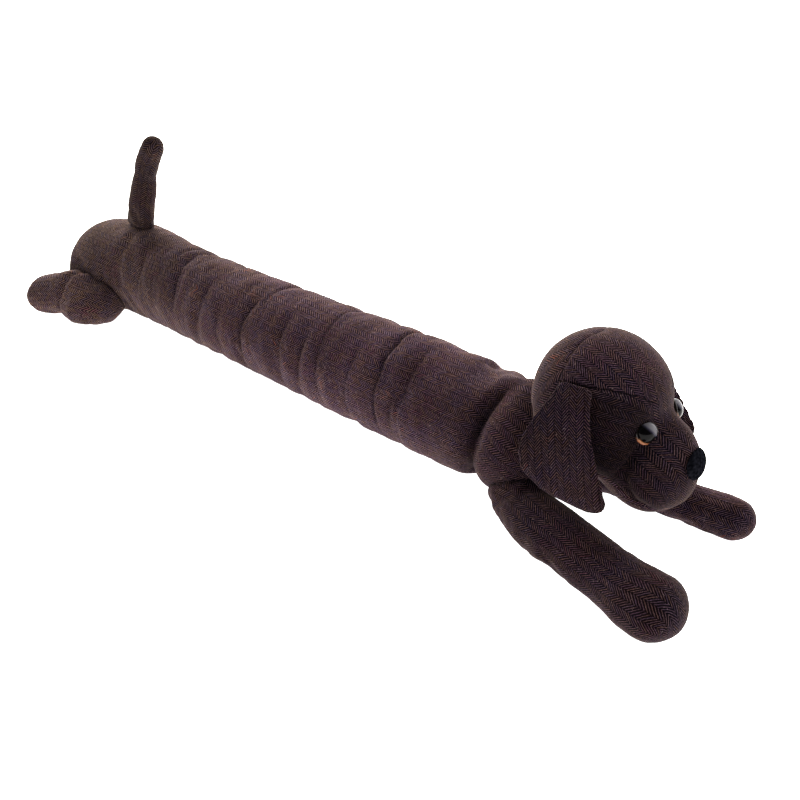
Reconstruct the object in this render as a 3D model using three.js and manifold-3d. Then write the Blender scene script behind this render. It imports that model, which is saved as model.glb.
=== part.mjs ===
// A draught excluder sewn from tweed in the form of a very long dog, lying on the floor.
// Every cloth piece is one stuffed solid: the tube of the body, the head, four legs and the tail.
// The ears are two flat flaps, and the eyes and the nose are hard pieces set into the head.
// Millimetres. +X runs along the tube towards the head, +Y to the dog's left, +Z up from the floor.
import * as THREE from 'three';
import { mergeVertices } from 'three/addons/utils/BufferGeometryUtils.js';
import Module from 'manifold-3d';

const wasm = await Module();
wasm.setup();

// Driving dimensions
const SEAM_GAP = 0.3; // room between two pieces that are sewn to one another
const TUBE_START = -508;
const TUBE_END = 352;
const RUMP_ROUND = 62; // how much of the tube's length its rounded end takes at the rump
const CHEST_ROUND = 50;
const EYE_RADIUS = 9;
const EYE_RISE = 7.5;
const EYE_SINK = 1.5; // how far the rim of an eye is pressed into the face
const EYE_FOOT = 4; // how far an eye reaches in below its rim
const EYE_BEVEL = 1;
const EYE_TAPER = 0.8;
const EYE = { x: 423, y: 29, z: 131 };
const EYE_LOOKS = { x: 0.8, y: 0.55, z: 0.24 };
const NOSE = { x: 453, z: 103, deep: 7, wide: 15, tall: 14, tilt: -0.25 };
const WELD = 1e-3; // vertices closer than this are one vertex

const UP = new THREE.Vector3(0, 0, 1);
const AHEAD = new THREE.Vector3(1, 0, 0);

// Smooth curve through one named column of a table whose rows are ordered by their key column.
function column(rows, key, name) {
  const curve = (at) => {
    const last = rows.length - 2;
    const i = Math.min(last, Math.max(0, rows.findIndex((row) => row[key] > at) - 1));
    const index = at >= rows[rows.length - 1][key] ? last : i;
    const from = rows[index];
    const to = rows[index + 1];
    const span = to[key] - from[key];
    const share = Math.min(1, Math.max(0, (at - from[key]) / span));
    const slope = (n) => {
      const before = rows[Math.max(0, n - 1)];
      const after = rows[Math.min(rows.length - 1, n + 1)];
      return ((after[name] - before[name]) / (after[key] - before[key])) * span;
    };
    const s2 = share * share;
    const s3 = s2 * share;
    return (2 * s3 - 3 * s2 + 1) * from[name] + (s3 - 2 * s2 + share) * slope(index)
      + (3 * s2 - 2 * s3) * to[name] + (s3 - s2) * slope(index + 1);
  };
  return curve;
}

// Where a row of vertices lies along a stuffed form, from 0 to 1, and how far it has opened out there.
// Each end is rounded over its own share of the length, and rows are closer together on it.
function rounded(v, startShare, endShare, startRows, endRows) {
  if (v < startRows) {
    const turn = (v / startRows) * Math.PI / 2;
    return { at: startShare * (1 - Math.cos(turn)), open: Math.sin(turn) };
  }
  if (v > 1 - endRows) {
    const turn = ((1 - v) / endRows) * Math.PI / 2;
    return { at: 1 - endShare * (1 - Math.cos(turn)), open: Math.sin(turn) };
  }
  const middle = (v - startRows) / (1 - startRows - endRows);
  return { at: startShare + middle * (1 - startShare - endShare), open: 1 };
}

// A closed skin: a sphere's vertices, each moved to where place(angle, v) puts it.
function skin(around, along, place) {
  const geometry = new THREE.SphereGeometry(1, around, along);
  const position = geometry.getAttribute('position');
  const uv = geometry.getAttribute('uv');
  const point = new THREE.Vector3();
  for (let i = 0; i < position.count; i += 1) {
    const row = Math.round((1 - uv.getY(i)) * along);
    const step = row === 0 || row === along ? 0 : Math.round(uv.getX(i) * around) % around;
    place(point, (step / around) * 2 * Math.PI, row / along);
    position.setXYZ(i, point.x, point.y, point.z);
  }
  return welded(geometry);
}

function welded(geometry) {
  geometry.deleteAttribute('normal');
  geometry.deleteAttribute('uv');
  return mergeVertices(geometry, WELD);
}

function solidOf(geometry) {
  const solid = new wasm.Manifold(new wasm.Mesh({
    numProp: 3,
    vertProperties: new Float32Array(geometry.getAttribute('position').array),
    triVerts: new Uint32Array(geometry.index.array),
  }));
  return solid.volume() < 0 ? solidOf(turnedOut(geometry)) : solid;
}

function turnedOut(geometry) {
  const index = Array.from(geometry.index.array);
  for (let i = 0; i < index.length; i += 3) {
    [index[i + 1], index[i + 2]] = [index[i + 2], index[i + 1]];
  }
  return geometry.clone().setIndex(index);
}

function geometryOf(solid) {
  const { numProp, numVert, vertProperties, triVerts } = solid.getMesh();
  const position = new Float32Array(numVert * 3);
  for (let i = 0; i < numVert; i += 1) {
    position.set(vertProperties.subarray(i * numProp, i * numProp + 3), i * 3);
  }
  return new THREE.BufferGeometry()
    .setAttribute('position', new THREE.BufferAttribute(position, 3))
    .setIndex(new THREE.BufferAttribute(triVerts, 1));
}

// The piece with the room of its neighbours cut away, and only its largest body kept.
function cutBy(piece, ...neighbours) {
  let solid = piece;
  for (const neighbour of neighbours) {
    solid = solid.subtract(neighbour);
  }
  return solid.decompose().reduce((a, b) => (a.volume() > b.volume() ? a : b));
}

// A soft dip across a stretch: 1 on its line, fading to 0 about one width away from it.
const dip = (distance, width) => Math.exp(-((distance / width) ** 2));

// 1 between low and high, fading to 0 over the given edge beyond them.
function within(value, low, high, edge) {
  const rise = THREE.MathUtils.smoothstep(value, low - edge, low + edge);
  return rise * (1 - THREE.MathUtils.smoothstep(value, high - edge, high + edge));
}

// The tube of the body, from the rump to the chest. side and rise are its half width and half height.
const TUBE = [
  { x: TUBE_START, z: 50, side: 62, rise: 50 },
  { x: -455, z: 58, side: 67, rise: 60 },
  { x: -400, z: 61, side: 66, rise: 65 },
  { x: -345, z: 63, side: 56, rise: 68 },
  { x: -295, z: 61, side: 55, rise: 65 },
  { x: -220, z: 59, side: 57, rise: 61 },
  { x: -100, z: 58, side: 58, rise: 60 },
  { x: 60, z: 58, side: 58, rise: 61 },
  { x: 160, z: 59, side: 58, rise: 62 },
  { x: 205, z: 58, side: 58, rise: 60 },
  { x: 262, z: 58, side: 61, rise: 56 },
  { x: 310, z: 58, side: 61, rise: 57 },
  { x: TUBE_END, z: 58, side: 60, rise: 56 },
];

// Folds that run round the tube. x is where a fold crosses the side, and lean how far it moves along
// the tube per radian upwards. low and high are the angles it spans, from 0 on the dog's right side at
// mid height over 90 on top to 180 on its left. A fold with far set is on the left side as well.
const FOLDS = [
  { x: -302, lean: 4, low: 5, high: 60, depth: 3, width: 13, far: false },
  { x: -212, lean: -9, low: 10, high: 95, depth: 4, width: 9, far: true },
  { x: -165, lean: 12, low: -15, high: 62, depth: 2.5, width: 8, far: false },
  { x: -124, lean: 2, low: -25, high: 30, depth: 2.5, width: 9, far: false },
  { x: -78, lean: 7, low: -30, high: 60, depth: 4.5, width: 7, far: false },
  { x: -66, lean: 4, low: 58, high: 130, depth: 3, width: 10, far: true },
  { x: -8, lean: 1, low: -30, high: 55, depth: 3, width: 10, far: false },
  { x: 22, lean: 6, low: -35, high: 45, depth: 3.5, width: 9, far: false },
  { x: 55, lean: -3, low: -30, high: 100, depth: 3.5, width: 7, far: true },
  { x: 104, lean: 2, low: -40, high: 60, depth: 2.5, width: 10, far: false },
  { x: 144, lean: -2, low: -35, high: 100, depth: 5.5, width: 9, far: true },
  { x: 168, lean: 4, low: -50, high: 25, depth: 4.5, width: 7, far: false },
  { x: 180, lean: 1, low: 18, high: 82, depth: 4.5, width: 7, far: false },
  { x: 268, lean: 7, low: -75, high: 76, depth: 10, width: 9, far: true },
  { x: 246, lean: 0, low: 84, high: 110, depth: 6, width: 9, far: true },
  { x: -250, lean: 5, low: 60, high: 125, depth: 2.5, width: 12, far: true },
  { x: 10, lean: 3, low: 100, high: 170, depth: 3.5, width: 9, far: false },
  { x: -150, lean: -5, low: 95, high: 185, depth: 3.5, width: 9, far: false },
  { x: 96, lean: 4, low: 110, high: 195, depth: 4, width: 9, far: false },
  { x: 205, lean: -4, low: 105, high: 200, depth: 4.5, width: 9, far: false },
  { x: -285, lean: 3, low: 110, high: 190, depth: 3.5, width: 10, far: false },
];

const FOLD_FADE = 14; // degrees over which a fold fades out at either end

const TUBE_AROUND = 32;
const TUBE_ALONG = 88;
const RUMP_ROWS = 8; // rows of vertices on the rounded end at the rump
const CHEST_ROWS = 6;

// How deep the folds press into the tube at x, for an angle counted from the right side upwards.
function foldDepth(x, angle) {
  const degrees = THREE.MathUtils.radToDeg(angle);
  return FOLDS.reduce((sum, fold) => {
    const mirrored = 180 - degrees;
    const near = within(degrees, fold.low, fold.high, FOLD_FADE);
    const other = fold.far ? within(mirrored, fold.low, fold.high, FOLD_FADE) : 0;
    const line = fold.x + fold.lean * THREE.MathUtils.degToRad(near >= other ? degrees : mirrored);
    return sum + fold.depth * Math.max(near, other) * dip(x - line, fold.width);
  }, 0);
}

function tubeSkin(swell) {
  const z = column(TUBE, 'x', 'z');
  const side = column(TUBE, 'x', 'side');
  const rise = column(TUBE, 'x', 'rise');
  const length = TUBE_END - TUBE_START;
  const rumpRows = RUMP_ROWS / TUBE_ALONG;
  const chestRows = CHEST_ROWS / TUBE_ALONG;
  return skin(TUBE_AROUND, TUBE_ALONG, (point, angle, v) => {
    const { at, open } = rounded(v, RUMP_ROUND / length, CHEST_ROUND / length, rumpRows, chestRows);
    const x = TUBE_START - swell + at * (length + 2 * swell);
    const counted = angle > 1.5 * Math.PI ? angle - 2 * Math.PI : angle;
    const press = foldDepth(x, counted);
    const y = -open * (side(x) + swell - press) * Math.cos(angle);
    const height = z(x) + open * (rise(x) + swell - press) * Math.sin(angle);
    point.set(x, y, Math.max(height, -swell));
  });
}

const LIMB_END_ROWS = 5; // rows of vertices on a limb's rounded end

// A stuffed limb along a curve. Its rows have a centre, a half width and a half thickness.
// across gives the direction of the half width at any tangent, and bow bends a flat section.
function limbSkin(rows, { around, along, roundStart, roundEnd, across, press = () => 0 }) {
  const centre = new THREE.CatmullRomCurve3(
    rows.map((row) => new THREE.Vector3(row.x, row.y, row.z)), false, 'centripetal');
  const keyed = rows.map((row, i) => ({ ...row, bow: row.bow ?? 0, key: i / (rows.length - 1) }));
  const half = column(keyed, 'key', 'half');
  const thick = column(keyed, 'key', 'thick');
  const bow = column(keyed, 'key', 'bow');
  const tangent = new THREE.Vector3();
  return skin(around, along, (point, angle, v) => {
    const { at, open } = rounded(v, roundStart, roundEnd, LIMB_END_ROWS / along, LIMB_END_ROWS / along);
    centre.getPoint(at, point);
    centre.getTangent(at, tangent);
    const wide = across(tangent).normalize();
    const through = new THREE.Vector3().crossVectors(tangent, wide).normalize();
    const inward = press(at, angle);
    const side = Math.cos(angle);
    const lift = (thick(at) - inward) * Math.sin(angle) + bow(at) * side * side;
    point.addScaledVector(wide, open * (half(at) - inward) * side);
    point.addScaledVector(through, open * lift);
    point.z = Math.max(point.z, 0);
  });
}

// The direction that is level and square to a limb which lies on the floor.
const levelAcross = (tangent) => new THREE.Vector3().crossVectors(UP, tangent);

// The legs lie on the floor, splayed a little. Rows run from the root inside the body to the paw's tip.
const RIGHT_FORELEG = [
  { x: 291, y: -32, z: 22, half: 17, thick: 22 },
  { x: 322, y: -50, z: 23, half: 23, thick: 25 },
  { x: 354, y: -63, z: 25, half: 27, thick: 27 },
  { x: 396, y: -72, z: 25, half: 26, thick: 25 },
  { x: 436, y: -81, z: 24, half: 26, thick: 24 },
  { x: 470, y: -90, z: 26, half: 31, thick: 26 },
  { x: 501, y: -92, z: 26, half: 31, thick: 25 },
];
const LEFT_FORELEG = [
  { x: 280, y: 26, z: 21, half: 26, thick: 22 },
  { x: 318, y: 44, z: 21, half: 25, thick: 22 },
  { x: 360, y: 56, z: 20, half: 22, thick: 21 },
  { x: 402, y: 61, z: 19, half: 20, thick: 20 },
  { x: 442, y: 64, z: 18, half: 20, thick: 19 },
  { x: 472, y: 67, z: 19, half: 21, thick: 20 },
  { x: 495, y: 69, z: 19, half: 19, thick: 19 },
];
const RIGHT_HIND_LEG = [
  { x: -368, y: -48, z: 25, half: 22, thick: 25 },
  { x: -383, y: -72, z: 26, half: 32, thick: 27 },
  { x: -401, y: -86, z: 26, half: 38, thick: 27 },
  { x: -424, y: -86, z: 27, half: 32, thick: 27 },
  { x: -451, y: -90, z: 30, half: 29, thick: 30 },
  { x: -475, y: -103, z: 27, half: 32, thick: 28 },
  { x: -494, y: -108, z: 25, half: 29, thick: 25 },
];
const ANKLE = { at: 0.5, width: 0.05, depth: 12, inner: 0.4 }; // shallower on the side that faces the tube

// The tail stands on the rump, flattened where it is sewn down, and leans towards the head.
const TAIL = [
  { x: -366, y: 0, z: 121, half: 31, thick: 7 },
  { x: -358, y: 0, z: 141, half: 26, thick: 13 },
  { x: -348, y: 0, z: 163, half: 20, thick: 16 },
  { x: -335, y: 0, z: 190, half: 18, thick: 16 },
  { x: -322, y: 0, z: 216, half: 16, thick: 15 },
  { x: -305, y: 0, z: 238, half: 15, thick: 15 },
  { x: -287, y: 0, z: 255, half: 14, thick: 14 },
];
const TAIL_CREASE = { at: 0.6, width: 0.04, depth: 1.5 };

// The ears hang from the sides of the head. half runs from the back edge to the front edge.
const EAR = [
  { x: 365, y: 48, z: 165, half: 14, thick: 2.6, bow: 0 },
  { x: 366, y: 56, z: 153, half: 18, thick: 3.2, bow: 1 },
  { x: 366, y: 62, z: 140, half: 23, thick: 3.4, bow: 2 },
  { x: 367, y: 67, z: 125, half: 31, thick: 3.6, bow: 4 },
  { x: 370, y: 71, z: 110, half: 37, thick: 3.8, bow: 5 },
  { x: 375, y: 74, z: 96, half: 41, thick: 3.8, bow: 5 },
  { x: 381, y: 76, z: 85, half: 40, thick: 3.6, bow: 4 },
  { x: 387, y: 77, z: 77, half: 34, thick: 3.2, bow: 2 },
  { x: 389, y: 77, z: 71, half: 24, thick: 2.8, bow: 1 },
];

// The head's stuffed form: rounded lumps that run into one another.
const HEAD_CORE = new THREE.Vector3(386, 0, 118);
const HEAD_LUMPS = [
  { name: 'crown', x: 362, y: 0, z: 131, rx: 58, ry: 59, rz: 61 },
  { name: 'brow', x: 390, y: 0, z: 140, rx: 29, ry: 42, rz: 34 },
  { name: 'cheeks', x: 388, y: 0, z: 105, rx: 44, ry: 48, rz: 38 },
  { name: 'muzzle', x: 421, y: 0, z: 86, rx: 36, ry: 37, rz: 40 },
  { name: 'bridge', x: 421, y: 0, z: 108, rx: 29, ry: 22, rz: 23 },
  { name: 'chin', x: 406, y: 0, z: 76, rx: 32, ry: 31, rz: 25 },
];
const HEAD_MELT = 12; // how softly the lumps run together
const HEAD_REACH = 150;
const HEAD_DETAIL = 10;

// Signed distance of a point to the head's lumps, negative inside.
function headField(p) {
  return HEAD_LUMPS.reduce((nearest, lump) => {
    const scaled = Math.hypot((p.x - lump.x) / lump.rx, (p.y - lump.y) / lump.ry, (p.z - lump.z) / lump.rz);
    const distance = (scaled - 1) * Math.min(lump.rx, lump.ry, lump.rz);
    const share = THREE.MathUtils.clamp(0.5 + (nearest - distance) / (2 * HEAD_MELT), 0, 1);
    return THREE.MathUtils.lerp(nearest, distance, share) - HEAD_MELT * share * (1 - share);
  }, HEAD_REACH);
}

// The point on the head's surface that a ray from its core leaves by.
function headPoint(direction, swell) {
  const point = new THREE.Vector3();
  let inside = 0;
  let outside = HEAD_REACH;
  for (let i = 0; i < 30; i += 1) {
    const middle = (inside + outside) / 2;
    point.copy(HEAD_CORE).addScaledVector(direction, middle);
    if (headField(point) < 0) inside = middle;
    else outside = middle;
  }
  return point.copy(HEAD_CORE).addScaledVector(direction, inside + swell);
}

function headSkin(swell) {
  const geometry = welded(new THREE.IcosahedronGeometry(1, HEAD_DETAIL));
  const position = geometry.getAttribute('position');
  for (let i = 0; i < position.count; i += 1) {
    const direction = new THREE.Vector3().fromBufferAttribute(position, i).normalize();
    const point = headPoint(direction, swell);
    position.setXYZ(i, point.x, point.y, point.z);
  }
  return geometry;
}

// A domed disc whose axis looks outwards, seated on the head where the given ray leaves it.
function eyeSkin(side) {
  const outline = [
    new THREE.Vector2(0, -EYE_FOOT),
    new THREE.Vector2(EYE_RADIUS * EYE_TAPER, -EYE_FOOT),
    new THREE.Vector2(EYE_RADIUS, -EYE_BEVEL),
  ];
  const steps = 6;
  const around = 18;
  for (let i = 0; i <= steps; i += 1) {
    const turn = (i / steps) * Math.PI / 2;
    outline.push(new THREE.Vector2(EYE_RADIUS * Math.cos(turn), EYE_RISE * Math.sin(turn)));
  }
  outline[outline.length - 1].x = 0;
  const dome = new THREE.LatheGeometry(outline, around);
  const looks = new THREE.Vector3(EYE_LOOKS.x, EYE_LOOKS.y * side, EYE_LOOKS.z).normalize();
  const turn = new THREE.Quaternion().setFromUnitVectors(new THREE.Vector3(0, 1, 0), looks);
  const ray = new THREE.Vector3(EYE.x, EYE.y * side, EYE.z).sub(HEAD_CORE).normalize();
  const seat = headPoint(ray, 0).addScaledVector(looks, -EYE_SINK);
  return welded(dome.applyQuaternion(turn).translate(seat.x, seat.y, seat.z));
}

// The nose is a soft-cornered pad over the front of the muzzle.
function noseSkin() {
  const around = 18;
  const rows = 12;
  const pad = new THREE.SphereGeometry(1, around, rows).scale(NOSE.deep, NOSE.wide, NOSE.tall);
  return welded(pad.rotateY(NOSE.tilt).translate(NOSE.x, 0, NOSE.z));
}

const WEAVE = { roughness: 0.95, metalness: 0 };
const TWEED = new THREE.MeshStandardMaterial({ color: 0x40302f, ...WEAVE });
const EAR_TWEED = new THREE.MeshStandardMaterial({ color: 0x3a2a2a, ...WEAVE });
const AMBER = new THREE.MeshStandardMaterial({ color: 0x2a160b, roughness: 0.08, metalness: 0 });
const NOSE_BLACK = new THREE.MeshStandardMaterial({ color: 0x141619, roughness: 0.6, metalness: 0 });

const dog = new THREE.Group();
function addPiece(name, solid, material) {
  const mesh = new THREE.Mesh(geometryOf(solid), material);
  mesh.name = name;
  dog.add(mesh);
}

const legShape = { around: 18, along: 20, roundStart: 0.12, roundEnd: 0.14, across: levelAcross };
const outerShare = (angle) => 1 - ANKLE.inner + ANKLE.inner * Math.cos(angle);
const ankle = (at, angle) => ANKLE.depth * outerShare(angle) * dip(at - ANKLE.at, ANKLE.width);
const hindLeg = limbSkin(RIGHT_HIND_LEG, { ...legShape, press: ankle });
const tubeRoom = solidOf(tubeSkin(SEAM_GAP));
const headRoom = solidOf(headSkin(SEAM_GAP));

addPiece('body', solidOf(tubeSkin(0)), TWEED);
addPiece('head', cutBy(solidOf(headSkin(0)), tubeRoom), TWEED);
const legs = {
  foreleg_right: limbSkin(RIGHT_FORELEG, legShape),
  foreleg_left: limbSkin(LEFT_FORELEG, legShape),
  hind_leg_right: hindLeg,
  hind_leg_left: hindLeg.clone().scale(1, -1, 1),
};
for (const [name, leg] of Object.entries(legs)) {
  addPiece(name, cutBy(solidOf(leg), tubeRoom, headRoom), TWEED);
}

const tail = limbSkin(TAIL, {
  around: 14,
  along: 22,
  roundStart: 0.02,
  roundEnd: 0.11,
  across: (tangent) => new THREE.Vector3(0, 1, 0).cross(tangent),
  press: (at) => TAIL_CREASE.depth * dip(at - TAIL_CREASE.at, TAIL_CREASE.width),
});
addPiece('tail', cutBy(solidOf(tail), tubeRoom), TWEED);

const earShape = { around: 20, along: 22, roundStart: 0.04, roundEnd: 0.1, across: () => AHEAD.clone() };
for (const [name, side] of [['ear_right', -1], ['ear_left', 1]]) {
  const rows = EAR.map((row) => ({ ...row, y: side * row.y, bow: -side * row.bow }));
  addPiece(name, cutBy(solidOf(limbSkin(rows, earShape)), headRoom, tubeRoom), EAR_TWEED);
}

for (const [name, side] of [['eye_right', -1], ['eye_left', 1]]) {
  addPiece(name, cutBy(solidOf(eyeSkin(side)), headRoom), AMBER);
}
addPiece('nose', cutBy(solidOf(noseSkin()), headRoom), NOSE_BLACK);

// The origin is the middle of the object's footprint, on the floor.
const box = new THREE.Box3().setFromObject(dog);
dog.position.set(-(box.min.x + box.max.x) / 2, -(box.min.y + box.max.y) / 2, -box.min.z);

export default dog;
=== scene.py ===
# Looks of the draught excluder: stuffed tweed skins, glass-like eyes and a felt nose.
# Metres, in the row frame: +X towards the head, +Y to the dog's left, +Z up from the floor.
import math

import bpy
import numpy as np
from mathutils import Matrix, Vector, noise
from mathutils.bvhtree import BVHTree
from mathutils.kdtree import KDTree


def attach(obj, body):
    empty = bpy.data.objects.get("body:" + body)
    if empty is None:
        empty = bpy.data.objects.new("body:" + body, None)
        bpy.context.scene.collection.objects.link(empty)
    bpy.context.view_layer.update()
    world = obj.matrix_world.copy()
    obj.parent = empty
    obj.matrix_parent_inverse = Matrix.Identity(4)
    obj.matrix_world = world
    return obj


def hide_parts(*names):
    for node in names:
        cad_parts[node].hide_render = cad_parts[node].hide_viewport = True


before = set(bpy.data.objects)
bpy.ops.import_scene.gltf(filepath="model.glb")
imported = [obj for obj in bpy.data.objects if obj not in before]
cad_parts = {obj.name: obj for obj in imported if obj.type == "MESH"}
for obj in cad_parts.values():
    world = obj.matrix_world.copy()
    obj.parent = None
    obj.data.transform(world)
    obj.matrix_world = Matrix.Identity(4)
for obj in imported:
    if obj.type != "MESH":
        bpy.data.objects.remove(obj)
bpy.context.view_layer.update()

MM = 0.001
ORIGIN_SHIFT = 3.5 * MM  # how far the solids moved along X when their footprint was centred

# The photograph's camera
CAMERA_AT = (0.6305, -0.548, 0.4644)
CAMERA_PITCH = 30
CAMERA_TURN = 42.24
CAMERA_LENS = 35.1
CAMERA_SENSOR = 36

# Fixed directions, across and up the face that the studio's window lights: the eyes' painted glare and
# glow lie along them
WINDOW_SIDE = np.array([0.740, 0.672, 0.0])
WINDOW_UP = np.array([-0.336, 0.370, 0.866])

# The cloth
CHEVRON = 12.5 * MM  # width of one whole zigzag of the herringbone
LINE_PITCH = 2.64 * MM  # from one line of the herringbone to the next, along a column
LINE_SLOPE = 1.16  # how far a line runs along the cloth for each step across it
COARSER = 0.40  # how much larger the lines are drawn at the far end of the tube
PRESSURE = 4.0  # of the filling that blows the cloth up
CLOTH_FRAMES = 20
FLOOR_ROOM = 0.2 * MM

# The tube, in millimetres as in the solids
TUBE_RADIUS = 59.4
TUBE_MIDDLE = 59  # height of its axis over the floor

FOLDS = [
    # x, lean, low, high, depth, width in millimetres and degrees, and whether it is on both sides
    (-302, 4, 5, 60, 3, 13, False),
    (-212, -9, 10, 95, 4, 9, True),
    (-165, 12, -15, 62, 2.5, 8, False),
    (-124, 2, -25, 30, 2.5, 9, False),
    (-78, 7, -30, 60, 4.5, 7, False),
    (-66, 4, 58, 130, 3, 10, True),
    (-8, 1, -30, 55, 3, 10, False),
    (22, 6, -35, 45, 3.5, 9, False),
    (55, -3, -30, 100, 3.5, 7, True),
    (104, 2, -40, 60, 2.5, 10, False),
    (144, -2, -35, 100, 5.5, 9, True),
    (168, 4, -50, 25, 4.5, 7, False),
    (180, 1, 18, 82, 4.5, 7, False),
    (268, 7, -75, 76, 10, 9, True),
    (-250, 5, 60, 125, 2.5, 12, True),
    (10, 3, 100, 170, 3.5, 9, False),
    (-150, -5, 95, 185, 3.5, 9, False),
    (96, 4, 110, 195, 4, 9, False),
    (205, -4, 105, 200, 4.5, 9, False),
    (-285, 3, 110, 190, 3.5, 10, False),
]

# Centre lines of the limbs, in millimetres, as in the solids
FORELEG_RIGHT = [
    (291, -32, 22), (322, -50, 23), (354, -63, 25), (396, -72, 25),
    (436, -81, 24), (470, -90, 26), (501, -92, 26),
]
FORELEG_LEFT = [
    (280, 26, 21), (318, 44, 21), (360, 56, 20), (402, 61, 19),
    (442, 64, 18), (472, 67, 19), (495, 69, 19),
]
HIND_LEG_RIGHT = [
    (-368, -48, 25), (-383, -72, 26), (-401, -86, 26), (-424, -86, 27),
    (-451, -90, 30), (-475, -103, 27), (-494, -108, 25),
]
HIND_LEG_LEFT = [(x, -y, z) for x, y, z in HIND_LEG_RIGHT]
TAIL = [
    (-366, 0, 121), (-357, 0, 141), (-347, 0, 163), (-334, 0, 190),
    (-322, 0, 216), (-305, 0, 238), (-287, 0, 255),
]


# Mesh data as arrays

def read_rows(items, key, width, kind=np.float64):
    flat = np.empty(len(items) * width, dtype=kind)
    items.foreach_get(key, flat)
    return flat.reshape(-1, width)


def points_of(mesh):
    return read_rows(mesh.vertices, "co", 3)


def set_points(mesh, points):
    mesh.vertices.foreach_set("co", np.ascontiguousarray(points, dtype=np.float64).ravel())
    mesh.update()


def normals_of(mesh):
    return read_rows(mesh.vertex_normals, "vector", 3)


def face_normals(mesh):
    return read_rows(mesh.polygons, "normal", 3)


def edges_of(mesh):
    return read_rows(mesh.edges, "vertices", 2, np.int32)


def quads_of(mesh):
    return read_rows(mesh.loops, "vertex_index", 1, np.int32).reshape(-1, 4)


def spread_sum(values, edges, count):
    """For each vertex, the sum of its neighbours' values."""
    columns = values.reshape(count, -1)
    total = np.empty_like(columns)
    for k in range(columns.shape[1]):
        ahead = np.bincount(edges[:, 0], weights=columns[edges[:, 1], k], minlength=count)
        behind = np.bincount(edges[:, 1], weights=columns[edges[:, 0], k], minlength=count)
        total[:, k] = ahead + behind
    return total.reshape(values.shape)


def blurred(values, edges, rounds, share=0.5):
    """Values on the vertices, averaged with their neighbours a number of times."""
    count = len(values)
    degree = np.maximum(1, np.bincount(edges.ravel(), minlength=count)).astype(float)
    if values.ndim > 1:
        degree = degree[:, None]
    for _ in range(rounds):
        values = (1 - share) * values + share * spread_sum(values, edges, count) / degree
    return values


def smoothed(points, edges, rounds):
    """Smoothing that keeps the volume: each round shrinks a little, then grows back."""
    for _ in range(rounds):
        points = blurred(points, edges, 1, 0.5)
        points = blurred(points, edges, 1, -0.53)
    return points


def smoothstep(low, high, value):
    t = np.clip((value - low) / (high - low), 0, 1)
    return t * t * (3 - 2 * t)


def field_noise(points, scale, seed=0.0):
    """Smooth noise of about -1 to 1 at each point. scale is features per metre, one number or three."""
    scaled = points * np.array(scale) + seed
    return np.array([noise.noise(Vector(p)) for p in scaled])


# Objects

def add_object(name, mesh):
    piece = bpy.data.objects.new(name, mesh)
    bpy.context.scene.collection.objects.link(piece)
    return piece


def applied(piece):
    """The piece's mesh with its modifiers applied, and the modifiers gone."""
    depsgraph = bpy.context.evaluated_depsgraph_get()
    mesh = bpy.data.meshes.new_from_object(piece.evaluated_get(depsgraph))
    piece.modifiers.clear()
    piece.data = mesh
    return mesh


def nearest_gap(points, names):
    """How far each point is from the nearest of the named CAD nodes."""
    gap = np.full(len(points), 1.0)
    for name in names:
        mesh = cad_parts[name].data
        tree = BVHTree.FromPolygons([v.co for v in mesh.vertices], [p.vertices for p in mesh.polygons])
        for i, point in enumerate(points):
            hit = tree.find_nearest(Vector(point), 0.02)
            if hit[0] is not None:
                gap[i] = min(gap[i], hit[3])
    return gap


def swollen(piece, hold, pressure, cap):
    """Points of the piece after air has been blown into its cloth. hold is 1 where it stays put."""
    mesh = piece.data
    start = points_of(mesh)
    group = piece.vertex_groups.new(name="held")
    for i in np.flatnonzero(hold > 0.01):
        group.add([int(i)], float(hold[i]), "REPLACE")
    cloth = piece.modifiers.new("Cloth", "CLOTH")
    cloth.settings.quality = 5
    cloth.settings.mass = 0.3
    cloth.settings.tension_stiffness = 15
    cloth.settings.compression_stiffness = 15
    cloth.settings.shear_stiffness = 5
    cloth.settings.bending_stiffness = 0.5
    cloth.settings.use_pressure = True
    cloth.settings.uniform_pressure_force = pressure
    cloth.settings.shrink_min = -0.05
    cloth.settings.vertex_group_mass = "held"
    cloth.settings.effector_weights.gravity = 0
    cloth.point_cache.frame_start = 1
    cloth.point_cache.frame_end = CLOTH_FRAMES
    scene = bpy.context.scene
    for number in range(1, CLOTH_FRAMES + 1):
        scene.frame_set(number)
    depsgraph = bpy.context.evaluated_depsgraph_get()
    moved = points_of(piece.evaluated_get(depsgraph).to_mesh())
    piece.modifiers.clear()
    piece.vertex_groups.clear()
    scene.frame_set(1)
    shift = moved - start
    length = np.linalg.norm(shift, axis=1)
    reach = cap * np.tanh(length / cap)
    return start + shift * (reach / np.maximum(length, 1e-9))[:, None]


def remeshed(name, source, voxel):
    piece = add_object(name, source.copy())
    piece.data.materials.clear()
    remesh = piece.modifiers.new("Remesh", "REMESH")
    remesh.mode = "VOXEL"
    remesh.voxel_size = voxel
    applied(piece)
    return piece


def puffed(node, source, voxel, neighbours, cap):
    """Where the cloth wrinkles when it is stuffed: a mesh, and how far each vertex moves out."""
    piece = remeshed(f"{node}_stuffing", source, voxel)
    mesh = piece.data
    edges = edges_of(mesh)
    base = smoothed(points_of(mesh), edges, 4)
    set_points(mesh, base)
    normal = normals_of(mesh)
    gap = nearest_gap(base, neighbours)
    held = 1 - smoothstep(1.5 * MM, 6 * MM, gap)
    held = np.maximum(held, 1 - smoothstep(0.5 * MM, 4 * MM, base[:, 2]))
    moved = swollen(piece, held, PRESSURE, cap)
    outward = np.sum((moved - base) * normal, axis=1)
    crisp = (outward - blurred(outward, edges, 10)) * (1 - held)
    quads = quads_of(mesh)
    tree = BVHTree.FromPolygons([Vector(p) for p in base], [tuple(q) for q in quads])
    bpy.data.objects.remove(piece)
    return tree, base, quads, crisp


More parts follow.
